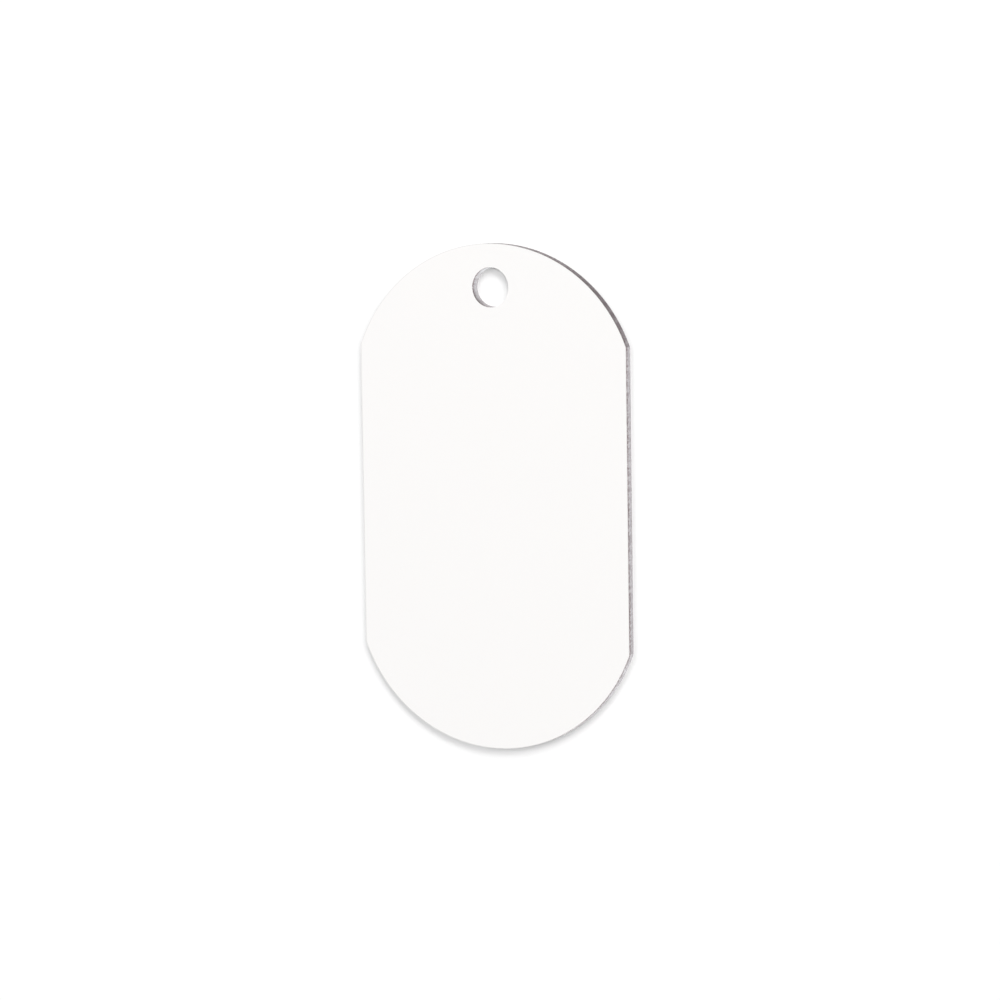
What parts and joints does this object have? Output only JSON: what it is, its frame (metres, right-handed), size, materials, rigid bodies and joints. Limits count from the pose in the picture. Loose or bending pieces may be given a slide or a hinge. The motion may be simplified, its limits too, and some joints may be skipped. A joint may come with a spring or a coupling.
{
  "type": "identification tag blank",
  "caption": "Flat white-coated sheet-metal identification tag with two straight sides, two wide end arcs and a punched hole for a ring.",
  "frame": {"origin": "middle of the tag's outline, on its back face, which is the face that it lies on", "axes": "+X across the width, +Y along the length toward the end with the ring hole, +Z through the sheet from the back face to the front face"},
  "size_m": [0.029, 0.05, 0.001],
  "materials": {
    "coated_sheet": "gloss"
  },
  "bodies": {
    "root": {"tag_plate": "coated_sheet"}
  },
  "joints": []
}
